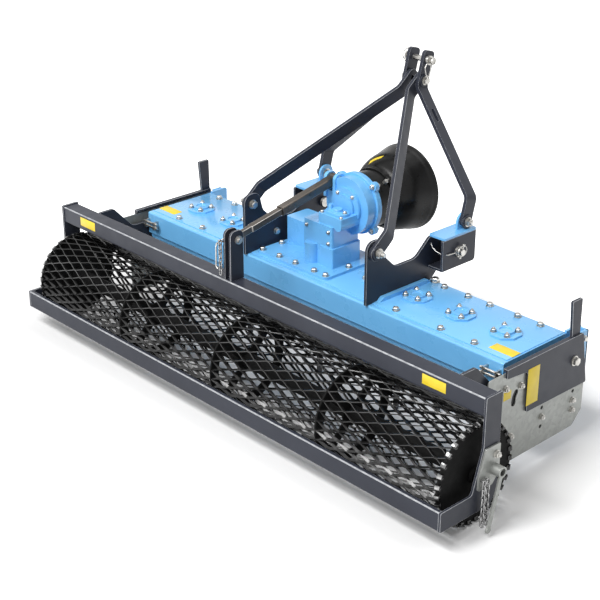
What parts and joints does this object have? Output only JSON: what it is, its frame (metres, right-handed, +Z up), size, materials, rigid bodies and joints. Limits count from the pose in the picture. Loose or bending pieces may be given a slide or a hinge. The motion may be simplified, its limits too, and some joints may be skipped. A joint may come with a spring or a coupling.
{
  "type": "power harrow",
  "caption": "Three-point-hitch power harrow: gear trough with knife-tine rotors, gearbox with guarded drive stub, A-frame headstock and a hinged mesh roller.",
  "frame": {"origin": "on the floor, under the middle of the machine's outline", "axes": "+X to the right seen from behind, +Y towards the tractor, +Z up"},
  "size_m": [2.076, 0.9969, 1.0522],
  "materials": {
    "blue_paint": "glossy sky-blue enamel",
    "charcoal_paint": "satin charcoal powder coat",
    "black_paint": "semi-gloss black",
    "galvanised": "dull galvanised sheet",
    "zinc": "zinc-plated steel",
    "link_steel": "dark oiled steel",
    "guard_plastic": "satin black plastic",
    "bright_steel": "machined steel",
    "tine_steel": "dark forged steel"
  },
  "bodies": {
    "main_frame": {"trough_pan": "blue_paint", "trough_lid": "blue_paint", "bearing_caps": "blue_paint", "bearing_seats": "blue_paint", "gearbox_housing": "blue_paint", "gearbox_bell": "blue_paint", "gearbox_cover": "blue_paint", "hitch_tops": "blue_paint", "saddle_plates": "charcoal_paint", "hitch_cheeks": "charcoal_paint", "front_legs": "charcoal_paint", "rear_struts": "charcoal_paint", "side_plates": "charcoal_paint", "corner_uprights": "charcoal_paint", "deflectors": "galvanised", "deflector_brackets": "galvanised", "hitch_pins": "zinc", "top_pin": "zinc", "pivot_bolts": "zinc", "stop_pins": "zinc", "link_pin": "zinc", "guard_collar": "guard_plastic", "guard_cone": "guard_plastic"},
    "roller_frame": {"top_beam": "charcoal_paint", "lower_beam": "charcoal_paint", "end_plates": "charcoal_paint", "roller_arms": "charcoal_paint", "depth_upright": "charcoal_paint", "end_brackets": "galvanised", "keeper_chains": "link_steel"},
    "roller": {"mesh_drum": "black_paint", "roller_discs": "black_paint", "roller_axle": "black_paint"},
    "link_sleeve_body": {"link_sleeve": "link_steel"},
    "link_rod_body": {"link_rod": "link_steel"},
    "input_shaft": {"pto_shaft": "bright_steel"},
    "rotor_1_body": {"rotor_1": "tine_steel"},
    "rotor_2_body": {"rotor_2": "tine_steel"},
    "rotor_3_body": {"rotor_3": "tine_steel"},
    "rotor_4_body": {"rotor_4": "tine_steel"},
    "rotor_5_body": {"rotor_5": "tine_steel"},
    "rotor_6_body": {"rotor_6": "tine_steel"},
    "rotor_7_body": {"rotor_7": "tine_steel"},
    "rotor_8_body": {"rotor_8": "tine_steel"},
    "rotor_9_body": {"rotor_9": "tine_steel"}
  },
  "joints": [
    {"name": "roller_frame_tilt", "type": "hinge", "parent": "main_frame", "child": "roller_frame", "pos_m": [0, 0.22897, 0.299], "axis": [1, 0, 0], "range_deg": [-10, 4]},
    {"name": "roller_spin", "type": "hinge", "parent": "roller_frame", "child": "roller", "pos_m": [0, -0.31403, 0.16297], "axis": [1, 0, 0], "continuous": true},
    {"name": "link_swing", "type": "hinge", "parent": "main_frame", "child": "link_sleeve_body", "pos_m": [-0.078, 0.14997, 0.65], "axis": [1, 0, 0], "range_deg": [-11, 4.5]},
    {"name": "link_extend", "type": "slide", "parent": "link_sleeve_body", "child": "link_rod_body", "axis": [0, -0.979, -0.2038], "range_m": [-0.066, 0.028]},
    {"name": "input_shaft_spin", "type": "hinge", "parent": "main_frame", "child": "input_shaft", "pos_m": [0, 0.27197, 0.578], "axis": [0, 1, 0], "continuous": true},
    {"name": "rotor_1_spin", "type": "hinge", "parent": "main_frame", "child": "rotor_1_body", "pos_m": [-0.72, 0.09397, 0], "axis": [0, 0, 1], "continuous": true},
    {"name": "rotor_2_spin", "type": "hinge", "parent": "main_frame", "child": "rotor_2_body", "pos_m": [-0.54, 0.09397, 0], "axis": [0, 0, 1], "continuous": true},
    {"name": "rotor_3_spin", "type": "hinge", "parent": "main_frame", "child": "rotor_3_body", "pos_m": [-0.36, 0.09397, 0], "axis": [0, 0, 1], "continuous": true},
    {"name": "rotor_4_spin", "type": "hinge", "parent": "main_frame", "child": "rotor_4_body", "pos_m": [-0.18, 0.09397, 0], "axis": [0, 0, 1], "continuous": true},
    {"name": "rotor_5_spin", "type": "hinge", "parent": "main_frame", "child": "rotor_5_body", "pos_m": [0, 0.09397, 0], "axis": [0, 0, 1], "continuous": true},
    {"name": "rotor_6_spin", "type": "hinge", "parent": "main_frame", "child": "rotor_6_body", "pos_m": [0.18, 0.09397, 0], "axis": [0, 0, 1], "continuous": true},
    {"name": "rotor_7_spin", "type": "hinge", "parent": "main_frame", "child": "rotor_7_body", "pos_m": [0.36, 0.09397, 0], "axis": [0, 0, 1], "continuous": true},
    {"name": "rotor_8_spin", "type": "hinge", "parent": "main_frame", "child": "rotor_8_body", "pos_m": [0.54, 0.09397, 0], "axis": [0, 0, 1], "continuous": true},
    {"name": "rotor_9_spin", "type": "hinge", "parent": "main_frame", "child": "rotor_9_body", "pos_m": [0.72, 0.09397, 0], "axis": [0, 0, 1], "continuous": true}
  ],
  "couplings": [
    {"joint": "link_swing", "follows": "roller_frame_tilt", "ratio": 1.06},
    {"joint": "link_extend", "follows": "roller_frame_tilt", "m_per_rad": 0.358},
    {"joint": "input_shaft_spin", "follows": "rotor_5_spin", "ratio": 1.8},
    {"joint": "rotor_1_spin", "follows": "rotor_5_spin", "ratio": 1},
    {"joint": "rotor_2_spin", "follows": "rotor_5_spin", "ratio": -1},
    {"joint": "rotor_3_spin", "follows": "rotor_5_spin", "ratio": 1},
    {"joint": "rotor_4_spin", "follows": "rotor_5_spin", "ratio": -1},
    {"joint": "rotor_6_spin", "follows": "rotor_5_spin", "ratio": -1},
    {"joint": "rotor_7_spin", "follows": "rotor_5_spin", "ratio": 1},
    {"joint": "rotor_8_spin", "follows": "rotor_5_spin", "ratio": -1},
    {"joint": "rotor_9_spin", "follows": "rotor_5_spin", "ratio": 1}
  ]
}
